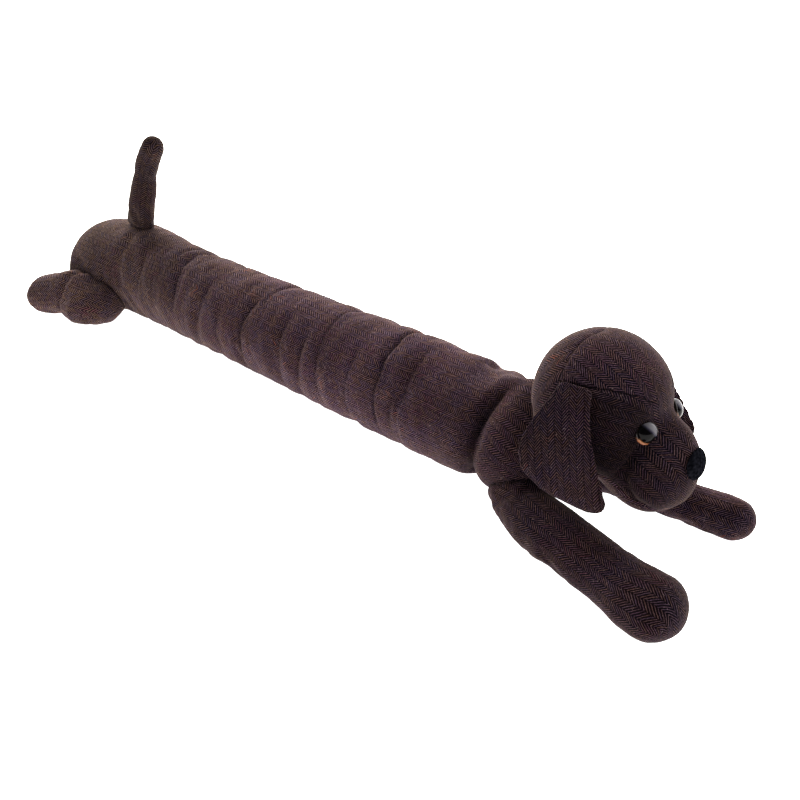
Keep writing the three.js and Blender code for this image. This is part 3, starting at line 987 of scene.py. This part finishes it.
def tweed(name, brightness=1.0, crisp=0.0):
    """crisp is how much wider than usual the dark lines of the weave are."""
    n = Nodes(name)
    place = n.place()
    weave = n.add("ShaderNodeUVMap", uv_map="weave").outputs[0]
    # The place on the cloth, a little off true
    parts = n.add("ShaderNodeSeparateXYZ", {0: weave})
    wobble = n.math("SUBTRACT", n.noise(place, 70.0, 1.0), 0.5)
    shiver = n.math("SUBTRACT", n.noise(place, 330.0, 1.0), 0.5)
    along = n.math("MULTIPLY_ADD", wobble, 1.4 * MM, parts.outputs[0])
    along = n.math("MULTIPLY_ADD", shiver, 0.9 * MM, along)
    across = n.math("MULTIPLY_ADD", wobble, -0.9 * MM, parts.outputs[1])
    # The lines of the zigzag, and how near each place is to the middle of its line
    zigzag = n.math("PINGPONG", across, CHEVRON / 2)
    coarser = n.attribute("coarser")
    slope = n.math("DIVIDE", LINE_SLOPE, n.math("ADD", coarser, 1.0))
    lines = n.math("DIVIDE", n.math("MULTIPLY_ADD", zigzag, slope, along), LINE_PITCH)
    column_number = n.math("FLOOR", n.math("DIVIDE", across, CHEVRON / 2))
    lines = n.math("MULTIPLY_ADD", n.math("FLOORED_MODULO", column_number, 2.0), BROKEN, lines)
    line_number = n.math("FLOOR", lines)
    saw = n.math("FRACT", lines)
    ridge = n.math("SUBTRACT", 1.0, n.math("ABSOLUTE", n.math("MULTIPLY_ADD", saw, 2.0, -1.0)))
    fibre = n.noise(place, 1500.0, 2.0)
    rough_ridge = n.math("ADD", ridge, n.math("MULTIPLY_ADD", fibre, 0.9, -0.45))
    from_turn = n.math("MINIMUM", zigzag, n.math("SUBTRACT", CHEVRON / 2, zigzag))
    at_turn = n.ranged(from_turn, 0.0, 0.7 * MM, 0.22, 0.0)
    x = n.add("ShaderNodeSeparateXYZ", {0: place}).outputs[0]
    darkest = n.ranged(x, 0.1, 0.36, 0.40, 0.52 + crisp)
    yarn = n.ranged(n.math("SUBTRACT", rough_ridge, at_turn), darkest, 0.84)
    # Each line's own yarn, on the dark one
    key = n.add("ShaderNodeCombineXYZ", {0: line_number, 1: column_number})
    drawn = n.add("ShaderNodeTexWhiteNoise", {"Vector": key.outputs[0]}, noise_dimensions="3D")
    patch = n.noise(place, 26.0, 3.0)
    own = n.math("MULTIPLY", drawn.outputs[0], 0.5)
    shade = n.math("ADD", own, n.math("MULTIPLY_ADD", patch, 1.2, -0.4))
    light = n.ramp(shade, LIGHT_YARNS)
    dark = n.mixed(n.ranged(n.noise(place, 34.0, 2.0), 0.4, 0.6), DARK_YARN, DARK_YARN_COOL)
    uneven = n.ranged(n.noise(place, 520.0, 2.0), 0.3, 0.7, 0.55, 1.0)
    cloth = n.mixed(n.math("MULTIPLY", yarn, uneven), dark, light)
    speck = n.ranged(n.noise(place, 900.0, 0.0), 0.74, 0.82)
    cloth = n.mixed(n.math("MULTIPLY", speck, 0.4), cloth, SPECK)
    # How light or dark the cloth is there: blotches; dark seams, and the painted shade and painted light
    # that the seam attribute also holds; painted shade towards the head and a tint along the dog; and
    # painted rim light at its edges
    blotch = n.ranged(n.noise(place, 16.0, 3.0), 0.25, 0.75, 0.78 * brightness, 1.22 * brightness)
    seam = n.attribute("seam")
    shadow = n.math("MULTIPLY_ADD", n.math("ADD", seam, sewn(n)), -0.85, 1.0)
    shadow = n.math("MAXIMUM", shadow, 0.08)
    front = n.ranged(x, 0.2, 0.36, 1.40, FRONT_LEVEL)
    facing = n.add("ShaderNodeLayerWeight", {"Blend": 0.5}).outputs["Facing"]
    turned_away = n.math("POWER", facing, 3.0)
    level = n.math("MULTIPLY", n.math("MULTIPLY", blotch, shadow), front)
    level = n.math("MULTIPLY", level, n.math("MULTIPLY_ADD", turned_away, EDGE_LIGHT, 1.0))
    green = n.math("MULTIPLY", level, n.ranged(x, -0.40, 0.0, 1.10, 1.0))
    blue = n.math("MULTIPLY", level, n.ranged(x, -0.40, 0.05, 0.92, 1.05))
    level_color = n.add("ShaderNodeCombineXYZ", {0: level, 1: green, 2: blue})
    cloth = n.mixed(1.0, cloth, level_color.outputs[0], "MULTIPLY")
    # Painted sheen of the nap where the cloth turns away
    nap = n.math("MULTIPLY", n.math("MULTIPLY", turned_away, NAP_SHEEN_SHARE), shadow)
    cloth = n.mixed(nap, cloth, NAP_SHEEN)
    height = n.math("ADD", yarn, n.math("MULTIPLY", fibre, 0.7))
    return n.finish(
        Base_Color=cloth, Roughness=0.95, Specular_IOR_Level=0.03, Sheen_Weight=0.015,
        Sheen_Roughness=0.35, Sheen_Tint=(1.0, 0.82, 0.70, 1), Normal=n.bump(height, 0.6, 0.6 * MM),
    )


def felt(name):
    """Matt black cloth with a short nap."""
    n = Nodes(name)
    place = n.place()
    nap = n.noise(place, 420.0, 4.0)
    color = n.ramp(nap, [(0.40, (0.0016, 0.0017, 0.0026)), (0.66, (0.0085, 0.0086, 0.0120))])
    return n.finish(
        Base_Color=color, Roughness=0.8, Specular_IOR_Level=0.0, Normal=n.bump(nap, 0.5, 0.4 * MM),
    )


def glass_eye(name):
    """A clear plastic dome over a wide black pupil, with an amber ring that has a painted glow at its
    lower edge.

    The attributes aside and aloft are a point's place on the dome's face, in radii from its middle:
    the studio's window's glare is painted on the side that aside counts towards, with a white rim."""
    n = Nodes(name)
    aside = n.attribute("aside")
    aloft = n.attribute("aloft")
    ring = n.distance(aside, aloft)
    lit = n.ranged(n.math("MULTIPLY_ADD", aloft, 0.9, n.math("MULTIPLY", aside, 0.75)), 0.08, 0.60)
    # Painted reflection: a grey glare on the side that the window lights
    painted_glare = n.ramp(lit, [
        (0.00, (0.0012, 0.0011, 0.0013)),
        (0.30, (0.014, 0.013, 0.022)),
        (0.65, (0.050, 0.047, 0.062)),
        (1.00, (0.100, 0.094, 0.106)),
    ])
    # Painted highlight: a white rim on the lit side
    edge = n.math("MULTIPLY", n.ranged(ring, 0.86, 0.95), n.ranged(aside, 0.15, 0.65))
    color = n.mixed(n.math("MULTIPLY", edge, 0.8), painted_glare, (0.30, 0.28, 0.28, 1))
    # Painted glow: amber at the dome's lower edge
    painted_glow_low = n.math("MULTIPLY", n.ranged(ring, 0.80, 0.97), n.ranged(aloft, -0.35, -0.75))
    amber = n.ramp(ring, [(0.80, (0.10, 0.030, 0.008)), (0.97, (0.42, 0.19, 0.09))])
    color = n.mixed(painted_glow_low, color, amber)
    return n.finish(Base_Color=color, Roughness=0.06, IOR=1.2, Specular_IOR_Level=0.3)


def brown_plastic(name):
    """The eye's cup: amber low down, where it shows below the dome, and dark above, as painted light and
    shade.
    """
    n = Nodes(name)
    place = n.place()
    grain = n.noise(place, 700.0, 2.0)
    aloft = n.attribute("aloft")
    amber = n.ramp(grain, [(0.3, (0.16, 0.052, 0.020)), (0.7, (0.32, 0.115, 0.050))])
    color = n.mixed(n.ranged(aloft, -0.2, -0.8), (0.006, 0.003, 0.002, 1), amber)
    return n.finish(Base_Color=color, Roughness=0.2, IOR=1.35)


# Eyes

# Sizes of an eye, in millimetres
EYE_RISE = 7.5
EYE_RADIUS = 8.9
DOME_FOOT = 0.8
DOME_STEPS = 14
CUP_PROFILE = [(0, -3.2), (7.4, -3.2), (9.0, -1.0), (9.6, 0.0), (9.6, 1.4), (9.1, 1.9), (0, 1.2)]

CUP_SLIPS = Vector(0.6 * WINDOW_SIDE - 0.8 * WINDOW_UP) * (0.65 * MM)  # so that it shows below the dome
FAR_GLARE = 0.3  # how much further the glare reaches on the far eye
EYE_LOOKS = Vector((0.8, 0.55, 0.24)).normalized()


def turned(profile, steps):
    """A closed surface of revolution. profile runs from one end of the axis to the other."""
    verts = []
    faces = []
    rings = []
    for radius, height in profile:
        if radius < 1e-9:
            rings.append([len(verts)])
            verts.append((0, 0, height))
        else:
            rings.append(list(range(len(verts), len(verts) + steps)))
            for k in range(steps):
                turn = 2 * math.pi * k / steps
                verts.append((radius * math.cos(turn), radius * math.sin(turn), height))
    for lower, upper in zip(rings, rings[1:]):
        for k in range(steps):
            a = lower[k % len(lower)]
            b = lower[(k + 1) % len(lower)]
            c = upper[(k + 1) % len(upper)]
            d = upper[k % len(upper)]
            faces.append(tuple(dict.fromkeys((a, b, c, d))))
    mesh = bpy.data.meshes.new("turned")
    mesh.from_pydata(verts, [], faces)
    mesh.update()
    mesh.shade_smooth()
    return mesh


def eye_pieces(side, name):
    """An eye on its node's place: the brown cup that is pressed into the head, and the dome on it."""
    verts = [v.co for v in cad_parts[f"eye_{name}"].data.vertices]
    looks = Vector((EYE_LOOKS.x, side * EYE_LOOKS.y, EYE_LOOKS.z))
    tip = max(verts, key=lambda co: co.dot(looks))
    centre = sum(verts, Vector()) / len(verts)
    foot = centre + looks * ((tip - centre).dot(looks) - EYE_RISE * MM)
    turn = Vector((0, 0, 1)).rotation_difference(looks).to_matrix().to_4x4()
    place = Matrix.Translation(foot) @ turn
    dome = [(0, 0.2), (8.7, 0.3)]
    for k in range(DOME_STEPS):
        turn_up = k / DOME_STEPS * math.pi / 2
        height = DOME_FOOT + (EYE_RISE - DOME_FOOT) * math.sin(turn_up)
        dome.append((EYE_RADIUS * math.cos(turn_up), height))
    dome.append((0, EYE_RISE))
    made = []
    for part, profile in (("cup", CUP_PROFILE), ("dome", dome)):
        mesh = turned([(r * MM, h * MM) for r, h in profile], 48)
        mesh.transform(place)
        if part == "cup":
            mesh.transform(Matrix.Translation(CUP_SLIPS))
        middle = foot + looks * 3 * MM
        offset = (points_of(mesh) - np.array(middle)) / (EYE_RADIUS * MM)
        further = FAR_GLARE if side > 0 and part == "dome" else 0.0
        add_value(mesh, "aside", offset @ WINDOW_SIDE + further)
        add_value(mesh, "aloft", offset @ WINDOW_UP)
        made.append(add_object(f"eye_{name}_{part}", mesh))
    return made


# Building

# Lighter and darker copies of one tweed: painted light and shade on the legs, the ears and the far side
TWEED = tweed("tweed_body")
LEG_TWEED = tweed("tweed_leg", 1.35)
EAR_TWEED = tweed("tweed_ear", 1.05, 0.08)
FAR_EAR_TWEED = tweed("tweed_far_ear", 1.5, 0.08)
FAR_LEG_TWEED = tweed("tweed_far_leg", 1.6)
FELT = felt("felt_black")

LEGS = ["foreleg_right", "foreleg_left", "hind_leg_right", "hind_leg_left"]


def stands_for(piece, node, material):
    piece.data.materials.append(material)
    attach(piece, "root")
    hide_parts(node)


body = stuffed("body", 4.35 * MM, 10, ["head", "tail", *LEGS], coarse=6 * MM)
dress_body(body.data)
head = stuffed("head", 2.3 * MM, 8, ["body"], cap=3 * MM, wrinkle=0.7, coarse=4.5 * MM)
dress_head(head.data)

FORE = {"toe": (1, 0.05, 0)}
REAR = {"root_fill": 6 * MM, "coarser": 0.25, "reshape": thigh_swollen}
LIMBS = [
    # node, centre line, voxel size in millimetres, cloth, seed, and what else dress_limb takes
    ("foreleg_right", FORELEG_RIGHT, 2.7, TWEED, 11.0, {"root_fill": 5 * MM, **FORE}),
    ("foreleg_left", FORELEG_LEFT, 2.5, FAR_LEG_TWEED, 23.0, FORE),
    ("hind_leg_right", HIND_LEG_RIGHT, 2.7, LEG_TWEED, 37.0, REAR),
    ("hind_leg_left", HIND_LEG_LEFT, 2.7, LEG_TWEED, 41.0, REAR),
]
limbs = []
for node, line, voxel, cloth, seed, dress in LIMBS:
    limb = stuffed(node, voxel * MM, 8, ["body", "head"])
    dress_limb(limb.data, line, seed, **dress)
    limbs.append((limb, node, cloth))

# The tail gets painted shade all over it, through shade
tail = stuffed("tail", 2.2 * MM, 3, ["body"], cap=3 * MM)
dress_limb(tail.data, TAIL, 53.0, (0.6, -0.75, 0.2), ripple=0.5, coarser=0.3, shade=0.60,
           reshape=tail_spread)

ears = []
for node, side, cloth in (("ear_right", -1, EAR_TWEED), ("ear_left", 1, FAR_EAR_TWEED)):
    ear = stuffed(node, 1.9 * MM, 3)
    dress_ear(ear.data, side)
    ears.append((ear, node, cloth))

nose = stuffed("nose", 1.0 * MM, 4)

for piece, node, cloth in [(body, "body", TWEED), (head, "head", TWEED), (tail, "tail", TWEED), *limbs]:
    stands_for(piece, node, cloth)
for piece, node, cloth in ears:
    stands_for(piece, node, cloth)
stands_for(nose, "nose", FELT)

CUP = brown_plastic("eye_brown")
DOME = glass_eye("eye_dome")
for side, name in ((-1, "right"), (1, "left")):
    for piece, material in zip(eye_pieces(side, name), (CUP, DOME)):
        stands_for(piece, f"eye_{name}", material)

# Stage, light and camera

FLOOR_HALF = 14.0
floor_corners = [(-1, -1), (1, -1), (1, 1), (-1, 1)]
floor_mesh = bpy.data.meshes.new("floor")
floor_mesh.from_pydata(
    [(x * FLOOR_HALF, y * FLOOR_HALF, -FLOOR_ROOM) for x, y in floor_corners], [], [(0, 1, 2, 3)],
)
floor = add_object("floor", floor_mesh)
floor_mesh.materials.append(Nodes("pale_paper").finish(
    Base_Color=(0.95, 0.95, 0.95, 1), Emission_Color=(1, 1, 1, 1), Emission_Strength=1.6,
    Roughness=0.9, Specular_IOR_Level=0.1,
))

# A white studio, dimmer on the side of the camera
STUDIO_BRIGHT = 1.9
STUDIO_DIM = 0.12
TO_DIM_SIDE = (0.60, -0.72, 0.35)

world = bpy.data.worlds.new("studio")
bpy.context.scene.world = world
world.use_nodes = True
sky = world.node_tree.nodes
away = sky.new("ShaderNodeVectorMath")
away.operation = "DOT_PRODUCT"
away.inputs[1].default_value = TO_DIM_SIDE
level = sky.new("ShaderNodeMapRange")
level.interpolation_type = "SMOOTHSTEP"
for socket, value in enumerate((-0.6, 0.7, STUDIO_BRIGHT, STUDIO_DIM), 1):
    level.inputs[socket].default_value = value
world.node_tree.links.new(sky.new("ShaderNodeTexCoord").outputs["Generated"], away.inputs[0])
world.node_tree.links.new(away.outputs["Value"], level.inputs[0])
sky["Background"].inputs[0].default_value = (1, 1, 1, 1)
# Seen directly, beyond the floor's edge, the studio is plain and pale
seen = sky.new("ShaderNodeLightPath").outputs["Is Camera Ray"]
shown = sky.new("ShaderNodeMix")
shown.inputs[3].default_value = 1.0
world.node_tree.links.new(seen, shown.inputs[0])
world.node_tree.links.new(level.outputs[0], shown.inputs[2])
world.node_tree.links.new(shown.outputs[0], sky["Background"].inputs[1])


def soft_sun(name, comes_from, strength, spread, color=(1, 1, 1)):
    data = bpy.data.lights.new(name, "SUN")
    data.energy = strength
    data.color = color
    data.angle = math.radians(spread)
    lamp = bpy.data.objects.new(name, data)
    lamp.rotation_euler = Vector(comes_from).to_track_quat("Z", "Y").to_euler()
    bpy.context.scene.collection.objects.link(lamp)


soft_sun("window_light", (-0.75, 0.4, 0.75), 6.3, 50, (1.0, 0.94, 0.82))
soft_sun("side_light", (0.5, 0.6, 0.55), 2.5, 60)

camera_data = bpy.data.cameras.new("camera")
camera_data.lens = CAMERA_LENS
camera_data.sensor_width = CAMERA_SENSOR
camera = bpy.data.objects.new("camera", camera_data)
camera.location = CAMERA_AT
camera.rotation_euler = (math.radians(90 - CAMERA_PITCH), 0, math.radians(CAMERA_TURN))
bpy.context.scene.collection.objects.link(camera)
bpy.context.scene.camera = camera
bpy.context.scene.view_settings.view_transform = "Standard"
